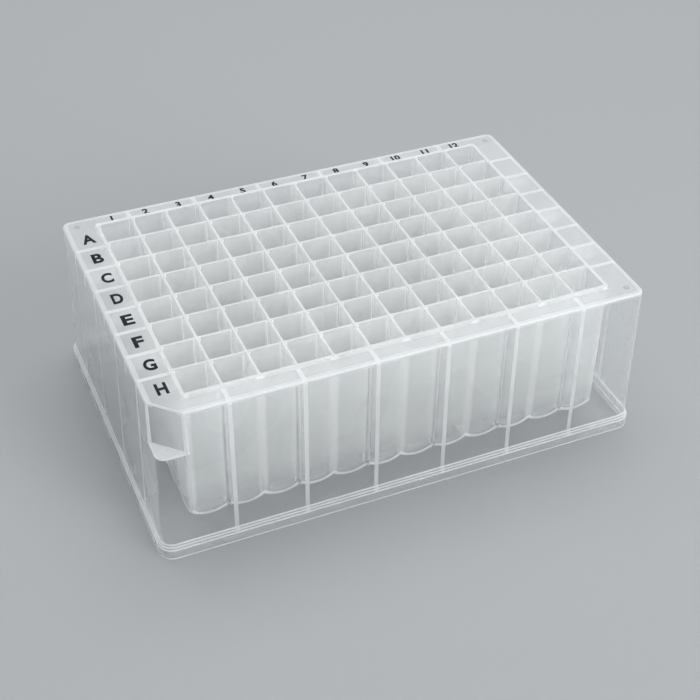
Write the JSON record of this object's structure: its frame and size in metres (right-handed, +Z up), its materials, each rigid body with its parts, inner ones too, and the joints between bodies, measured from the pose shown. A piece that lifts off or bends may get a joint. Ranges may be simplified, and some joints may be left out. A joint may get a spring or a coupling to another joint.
{
  "type": "well plate",
  "caption": "Deep-well storage plate: a moulded block of open square wells with domed bottoms, a deck with a notched corner, and a hollow ribbed skirt on a stepped flange.",
  "frame": {"origin": "on the surface that the plate stands on, under the middle of its footprint", "axes": "+X runs along the columns of wells from the first to the last, +Y from the last row to the first, and +Z up, out of the wells' mouths; the notched corner is at -X, -Y"},
  "size_m": [0.1278, 0.0854, 0.0436],
  "materials": {
    "polypropylene": "natural, unpigmented and translucent, with a satin surface"
  },
  "bodies": {
    "root": {"well_plate": "polypropylene"}
  },
  "joints": []
}
